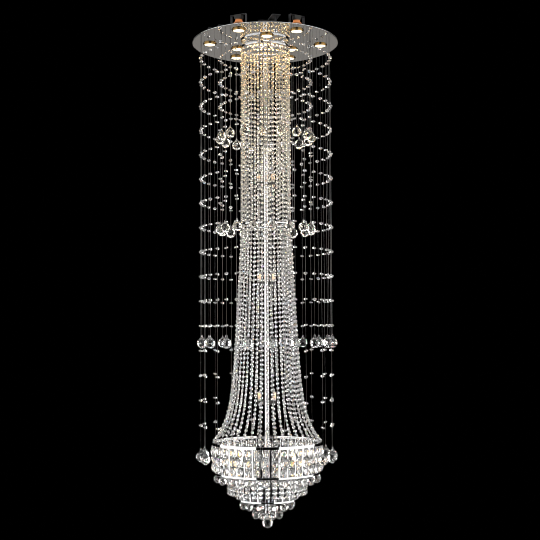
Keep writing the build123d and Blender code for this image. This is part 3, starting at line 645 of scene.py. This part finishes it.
def column():
    """Straight strands to the waist, and strands that flare out below it.

    With the share s of the drop, the radius grows by 50 mm times s, and by the rest of the way out to the top
    ring times s to the tenth power."""
    z = np.linspace(COLUMN_RING_UNDER, WAIST_TOP, 50)
    bead_column("upper_bead_strands", "upper_strands", np.full(50, STRAND_CIRCLE_R), z)
    share = np.linspace(0, 1, 160)
    even = 50 * MM
    flare = TOP_RING_R - BAND_T / 2 - STRAND_CIRCLE_R - even
    radius = STRAND_CIRCLE_R + even * share + flare * share**10
    z = WAIST_UNDER + (TOP_RING_TOP - WAIST_UNDER) * share
    bead_column("lower_bead_strands", "lower_strands", radius, z)


# Strings of the curtain

FIRST_BEAD = 65 * MM
BEAD_LEVEL = 100 * MM
STRING_BEAD = (8.8 * MM, 3.4 * MM, 0.66)
WIRE_R = 0.36 * MM
STRING_BALL_R = 20 * MM


def string_sets():
    """The circle of each set: the inner strings alternate in pairs of lengths, and so do the outer ones."""
    r1, start1, count1 = INNER_STRINGS
    r2, start2, count2 = OUTER_STRINGS
    quarter, half = 360.0 / count1 / 4, 360.0 / count2 / 2
    return {
        "a": (r1, start1 + quarter, count1), "b": (r1, start1 - quarter, count1),
        "c": (r2, start2, count2), "d": (r2, start2 + half, count2),
    }


def strings():
    """Wires with small beads threaded on them at even levels, and a cut ball on a ring at each end."""
    wires = {"inner": [], "outer": []}
    small, small_turn, loops, loop_turn = [], [], [], []
    for key, (radius, start, count) in string_sets().items():
        side = "inner" if key in "ab" else "outer"
        low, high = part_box(f"string_balls_{key}")
        turn = angles(count, start)
        foot = high.z + 4.4 * MM
        rod, rod_faces = capped_turning(
            [(0, foot), (WIRE_R, foot), (WIRE_R, PLATE_UNDER), (0, PLATE_UNDER)], 6)
        wires[side].append(set_down(rod, turn, round_the_stem(radius, turn, 0.0)).reshape(-1, 3))
        for level in np.arange(PLATE_UNDER - FIRST_BEAD, high.z + 17 * MM, -BEAD_LEVEL):
            small.append(round_the_stem(radius, turn, level))
            small_turn.append(turn)
        twist = rng.uniform(0, math.pi, count)
        shape, faces = drop_ball(STRING_BALL_R, high.z - low.z - STRING_BALL_R)
        balls = set_down(shape, turn + twist, round_the_stem(radius, turn, low.z + STRING_BALL_R))
        faces = repeat_faces(faces, len(shape), count)
        piece = make_piece(f"string_ball_set_{key}", balls, faces, clear_crystal)
        paint_glints_and_lamp_warmth(piece, 0.12)
        settle(piece, "crystal", "frame", f"string_balls_{key}")
        loops.append(round_the_stem(radius, turn, high.z + 1.2 * MM))
        loop_turn.append(turn + twist)
    for side, parts in wires.items():
        points = np.vstack(parts)
        faces = repeat_faces(rod_faces, len(rod), len(points) // len(rod))
        piece = make_piece(f"{side}_wires", points, faces, thin_wire, True)
        settle(piece, "steel_wire", "frame", f"{side}_string_wires")
    places, turn = np.vstack(loops), np.concatenate(loop_turn)
    shape, faces = wire_loop(3.2 * MM, 0.5 * MM)
    placed = set_down(shape, turn, places)
    piece = make_piece("ball_loops", placed, repeat_faces(faces, len(shape), len(turn)), chrome, True)
    settle(piece, "steel_wire", "frame")
    places, turn = np.vstack(small), np.concatenate(small_turn)
    shape, faces = cut_bead(*STRING_BEAD)
    shape = shape[:, [2, 1, 0]] * [1, 1, -1]  # laid flat
    spin = rng.uniform(0, math.pi, len(turn))
    lean = rng.normal(0, 0.28, len(turn))
    placed = set_down(shape, turn + spin, places, lean=lean)
    piece = make_piece("string_beads", placed, repeat_faces(faces, len(shape), len(turn)), bead_crystal)
    paint_glints_and_lamp_warmth(piece, 0.08, 0.0)
    settle(piece, "crystal", "frame")


# Bowl

TIER_CRYSTAL_R = 219.9 * MM
PENDANT = (13.6 * MM, 17.0 * MM, 5.6 * MM)
# Radius in millimetres of a long prism at a share of its length, and how much wider it is across
PRISM_ROWS = (
    (0.0, 0.0), (5.0, 0.05), (6.4, 0.11), (3.4, 0.19), (6.6, 0.27), (6.6, 0.31), (3.4, 0.39), (6.7, 0.47),
    (6.7, 0.52), (3.4, 0.6), (6.8, 0.68), (6.8, 0.73), (3.4, 0.81), (6.4, 0.89), (5.0, 0.95), (0.0, 1.0),
)
PRISM_ACROSS = 1.7
# Piece, node, circle's radius, first angle, count, and the radius of a ball
BOWL_BALLS = (
    ("rim_ball_set", "rim_balls", 201 * MM, 8.0, 18, 17 * MM),
    ("lower_ball_set", "bottom_balls_outer", 97 * MM, 12.0, 12, 17 * MM),
    ("lowest_ball_set", "bottom_balls_inner", 50 * MM, 22.5, 8, 16 * MM),
)
FINIAL_R = 20.5 * MM


def tier_crystals():
    """Three rows of star-cut pendants, one in each bay between two bars."""
    rows, bays = 3, 40
    pitch = (TOP_RING_UNDER - MIDDLE_RING_TOP) / rows
    turn = np.tile(angles(bays, -87.5 + 180.0 / bays), rows)
    level = np.repeat(TOP_RING_UNDER - pitch * (np.arange(rows) + 0.5), bays)
    places = round_the_stem(TIER_CRYSTAL_R, turn, level)
    shape, faces = star_cut(*PENDANT)
    twist = rng.uniform(-0.1, 0.1, len(turn))
    placed = set_down(shape, turn + twist, places)
    piece = make_piece("tier_pendants", placed, repeat_faces(faces, len(shape), len(turn)), pendant_crystal)
    paint_glints_and_lamp_warmth(piece, 0.15)
    settle(piece, "crystal", "frame", "tier_1_crystals")


def prisms():
    """Long drops cut like a row of joined beads: the belts swell and narrow, and end in a point."""
    low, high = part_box("tier_2_prisms")
    length = high.z - low.z
    shape, faces = cut_turning([(r * MM, low.z + length * share) for r, share in PRISM_ROWS], 8)
    shape = shape * [1, PRISM_ACROSS, 1]
    piece = copies_round("long_prisms", shape, faces, PRISM_CIRCLE, pendant_crystal, False)
    paint_glints_and_lamp_warmth(piece, 0.15)
    settle(piece, "crystal", "frame", "tier_2_prisms")


def bowl_balls():
    """The circles of cut balls under the rim and under the bottom tray."""
    for name, node, radius, start, count, ball_r in BOWL_BALLS:
        low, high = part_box(node)
        shape, faces = drop_ball(ball_r, high.z - low.z - ball_r)
        turn = angles(count, start)
        twist = rng.uniform(0, math.pi, count)
        placed = set_down(shape, turn + twist, round_the_stem(radius, turn, low.z + ball_r))
        piece = make_piece(name, placed, repeat_faces(faces, len(shape), count), clear_crystal)
        paint_glints_and_lamp_warmth(piece, 0.15)
        settle(piece, "crystal", "frame", node)


def finial_bail(top):
    """A closed wire with a round section. Its line is an ellipse pushed out towards its own box."""
    half_wide, half_tall, wire_r, steps, sides = 5 * MM, 8 * MM, 1 * MM, 40, 10
    middle = top - half_tall - wire_r
    t, s = angles(steps), angles(sides)
    square = np.maximum(np.abs(np.cos(t)), np.abs(np.sin(t))) ** 0.6
    across = np.clip(half_wide * np.cos(t) / square, -half_wide, half_wide)
    along = np.clip(half_tall * np.sin(t) / square, -half_tall, half_tall)
    path = np.stack([np.zeros(steps), across, middle + along], 1)
    ahead = np.roll(path, -1, 0) - np.roll(path, 1, 0)
    ahead /= np.linalg.norm(ahead, axis=1)[:, None]
    side = np.array([1.0, 0, 0])
    out = np.cross(ahead, side)
    c, s = np.cos(s)[None, :, None], np.sin(s)[None, :, None]
    points = path[:, None] + wire_r * (c * side + s * out[:, None])
    faces = []
    for i in range(steps):
        for j in range(sides):
            a, b, k = i * sides, (i + 1) % steps * sides, (j + 1) % sides
            faces.append([a + j, b + j, b + k, a + k])
    settle(make_piece("finial_bail", points, faces, chrome, True), "chrome", "finial_ball")


def finial():
    """The lowest ball, cut in eighteen sides and ten even belts, with the wire bail it swings on."""
    low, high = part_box("finial_ball")
    arc = np.linspace(0, math.pi, 11)
    shape, faces = cut_turning([(FINIAL_R * math.sin(t), -FINIAL_R * math.cos(t)) for t in arc], 18)
    shape = shape + [0, 0, low.z + FINIAL_R]
    ball = make_piece("finial_crystal", shape, faces, finial_glass)
    paint_glints_and_lamp_warmth(ball, 0.15)
    settle(ball, "crystal", "finial_ball", "finial_ball")
    finial_bail(high.z)


stem()
rings()
cap_screws()
posts()
spot_lamps()
spot_trims()
plate_edge()
capsule_lamps()
column()
strings()
tier_crystals()
prisms()
bowl_balls()
finial()


# Room

FLOOR_Z = -3.2
FLOOR_R = 2.0


def floor():
    """A round pale floor with a painted pool of light: its colour fades from pale in the middle to black at
    its edge, as under a spot.
    """
    material, n, l = new_material("floor_with_painted_light_pool")
    shader = n["Principled BSDF"]
    shader.inputs["Roughness"].default_value = 0.7
    place = n.new("ShaderNodeTexCoord")
    far = n.new("ShaderNodeVectorMath")
    far.operation = "LENGTH"
    flat = n.new("ShaderNodeMapping")
    flat.inputs["Scale"].default_value = (1, 1, 0)
    ramp = n.new("ShaderNodeValToRGB")
    # Painted pool of light: pale in the middle, fading to black at the floor's edge
    ramp.color_ramp.elements[0].position = 0.35
    ramp.color_ramp.elements[0].color = (0.62, 0.61, 0.59, 1)
    ramp.color_ramp.elements[1].position = 1.0
    ramp.color_ramp.elements[1].color = (0, 0, 0, 1)
    share = n.new("ShaderNodeMath")
    share.operation = "MULTIPLY"
    share.inputs[1].default_value = 1 / FLOOR_R
    l.new(place.outputs["Object"], flat.inputs["Vector"])
    l.new(flat.outputs[0], far.inputs[0])
    l.new(far.outputs["Value"], share.inputs[0])
    l.new(share.outputs[0], ramp.inputs[0])
    l.new(ramp.outputs[0], shader.inputs["Base Color"])
    points = round_the_stem(FLOOR_R, angles(96), FLOOR_Z)
    make_piece("floor", points, [list(range(96))], material)


def dark_room():
    """A dim even world that the camera, metal and glass see as black."""
    world = bpy.data.worlds.new("room")
    bpy.context.scene.world = world
    world.use_nodes = True
    n, l = world.node_tree.nodes, world.node_tree.links
    path = n.new("ShaderNodeLightPath")
    seen = n.new("ShaderNodeMath")
    seen.operation = "MAXIMUM"
    either = n.new("ShaderNodeMath")
    either.operation = "MAXIMUM"
    l.new(path.outputs["Is Camera Ray"], seen.inputs[0])
    l.new(path.outputs["Is Glossy Ray"], seen.inputs[1])
    l.new(seen.outputs[0], either.inputs[0])
    l.new(path.outputs["Is Transmission Ray"], either.inputs[1])
    mix = n.new("ShaderNodeMix")
    mix.data_type = "RGBA"
    mix.inputs["A"].default_value = (0.06, 0.06, 0.062, 1)
    mix.inputs["B"].default_value = (0, 0, 0, 1)
    l.new(either.outputs[0], mix.inputs["Factor"])
    l.new(mix.outputs["Result"], n["Background"].inputs["Color"])


def area_light(name, place, target, size, strength, colour, shape="RECTANGLE"):
    """A soft light aimed at a target. Its strength is what a mirror would show: power over area over pi."""
    area = size[0] * size[1] * (math.pi / 4 if shape == "DISK" else 1)
    data = bpy.data.lights.new(name, "AREA")
    data.shape = shape
    data.size = size[0]
    if shape == "RECTANGLE":
        data.size_y = size[1]
    data.energy = strength * math.pi * area
    data.color = colour
    light = bpy.data.objects.new(name, data)
    bpy.context.scene.collection.objects.link(light)
    light.location = place
    light.rotation_mode = "QUATERNION"
    light.rotation_quaternion = (Vector(target) - Vector(place)).to_track_quat("-Z", "Y")
    light.visible_camera = False
    return light


# Strengths of the lights, and the sides of the large ones in metres
PANEL_L = 1.45
STRIP_L = 5.5
UPPER_L = 2.0
LOWER_L = 3.0
OVER_L = 0.45
WALL_L = 0.33
SPOT_L = 30.021
GLOW_L = 9.4989
HALO_L = 1.3
PANEL_TOP = 0.25
PANEL_FOOT = -3.1
PANEL_NEAR = 2.5
LEVEL_SIDE = 4.0
CEILING_SIDE = 9.0
WALL_SIZE = (1.6, 0.56)
WALL_Y, WALL_Z = 3.2, -1.02
WHITE = (1, 1, 1)
# Panels in the bowl: name, distance from the stem, height, length and strength
BOWL_CORES = (
    ("lower", 60 * MM, -1.885, 90 * MM, 2.4),
    ("bottom", 30 * MM, -1.968, 40 * MM, 2.5),
)


def panel(name, side, first, last, strength):
    """A tall soft panel between two angles off the camera, at one side."""
    wide = 2 * PANEL_NEAR * math.tan(math.radians((last - first) / 2))
    tall = PANEL_TOP - PANEL_FOOT
    height = (PANEL_TOP + PANEL_FOOT) / 2
    turn = math.radians((first + last) / 2)
    place = (side * PANEL_NEAR * math.sin(turn), -PANEL_NEAR * math.cos(turn), height)
    return area_light(name, place, (0, 0, height), (wide, tall), strength, (1, 0.985, 0.955))


def crystal_only(light):
    """Only what passes through crystal shows this light: metal does not mirror it."""
    light.visible_glossy = False
    light.visible_diffuse = False


def bowl_light():
    """The lit inside of the bowl, seen only through its crystals.

    It is upright panels round the stem that face out, and a warm halo at each lamp."""
    for name, out, z, tall, strength in BOWL_CORES:
        size = (0.75 * out, tall)
        for number, (x, y, _) in enumerate(round_the_stem(out, angles(8, 22.5), z)):
            aim = (2 * x, 2 * y, z)
            crystal_only(area_light(f"{name}_core_{number}", (x, y, z), aim, size, strength, (1, 0.97, 0.92)))
    size = (90 * MM, 90 * MM)
    for number in range(1, 5):
        low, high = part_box(f"bowl_lamp_{number}")
        x, y, z = (low + high) / 2
        aim = (2 * x, 2 * y, z)
        crystal_only(area_light(f"bowl_halo_{number}", (x, y, z), aim, size, HALO_L, (1, 0.68, 0.3), "DISK"))


def lights():
    """Soft panels at both sides, strips and levels that the crystals sparkle with, the warm glow of the
    spots, and the two walls that the plate mirrors."""
    for side, name in ((-1, "left"), (1, "right")):
        panel(f"{name}_panel_front", side, 23, 67, PANEL_L)
        panel(f"{name}_panel_side", side, 67, 111, PANEL_L)
        for number, first in enumerate(range(112, 148, 12)):
            crystal_only(panel(f"{name}_strip_{number}", side, first, first + 7, STRIP_L))
    size = (LEVEL_SIDE, LEVEL_SIDE)
    for name, z, strength in (("upper", 0.9, UPPER_L), ("lower", -3.9, LOWER_L)):
        crystal_only(area_light(f"{name}_level", (0, 0, z), (0, 0, -1.5), size, strength, WHITE))
    size = (CEILING_SIDE, CEILING_SIDE)
    over = area_light("ceiling_panel", (0, 0, 1.6), (0, 0, 0), size, OVER_L, WHITE)
    over.visible_transmission = False
    place, size = (0, 0, PLATE_UNDER - 4 * MM), (160 * MM, 160 * MM)
    glow = area_light("plate_glow", place, (0, 0, -3), size, GLOW_L, (1, 0.7, 0.38), "DISK")
    glow.visible_glossy = False
    number = 0
    for radius, start, count in (OUTER_SPOTS, INNER_SPOTS):
        for x, y, z in round_the_stem(radius, angles(count, start), PLATE_UNDER - 8 * MM):
            number += 1
            aim, size = (0.75 * x, 0.75 * y, z - 1), (45 * MM, 45 * MM)
            beam = area_light(f"spot_beam_{number}", (x, y, z), aim, size, SPOT_L, (1, 0.7, 0.4), "DISK")
            beam.visible_glossy = False
    for name, side in (("far_wall", 1), ("near_wall", -1)):
        place, aim = (0, side * WALL_Y, WALL_Z), (0, 0, WALL_Z)
        wall = area_light(name, place, aim, WALL_SIZE, WALL_L, (1, 0.94, 0.86))
        wall.visible_transmission = False
        wall.visible_diffuse = False


CAMERA_PLACE = (-0.0374, -4.14, -1.284)
CAMERA_TILT, CAMERA_PAN, CAMERA_ROLL = (math.radians(v) for v in (3.72, 0.727, -0.296))
FRAME_PX, FOCAL_PX = 540.0, 1015.6


def camera():
    """Stands 4.14 m from the stem and a little below its middle, tilted up, with a slight turn and roll."""
    data = bpy.data.cameras.new("camera")
    data.sensor_width = 36.0
    data.lens = FOCAL_PX / FRAME_PX * data.sensor_width
    data.clip_end = 50.0
    view = bpy.data.objects.new("camera", data)
    bpy.context.scene.collection.objects.link(view)
    tilt, pan, roll = CAMERA_TILT, CAMERA_PAN, CAMERA_ROLL
    ahead = Vector((math.sin(pan) * math.cos(tilt), math.cos(pan) * math.cos(tilt), math.sin(tilt)))
    level = Vector((math.cos(pan), -math.sin(pan), 0))
    upright = level.cross(ahead)
    right = level * math.cos(roll) + upright * math.sin(roll)
    up = upright * math.cos(roll) - level * math.sin(roll)
    turned = Matrix((right, up, -ahead)).transposed().to_4x4()
    view.matrix_world = Matrix.Translation(CAMERA_PLACE) @ turned
    bpy.context.scene.camera = view


floor()
dark_room()
lights()
bowl_light()
camera()
bpy.context.scene.view_settings.view_transform = "Standard"
bpy.context.scene.cycles.filter_width = 0.9
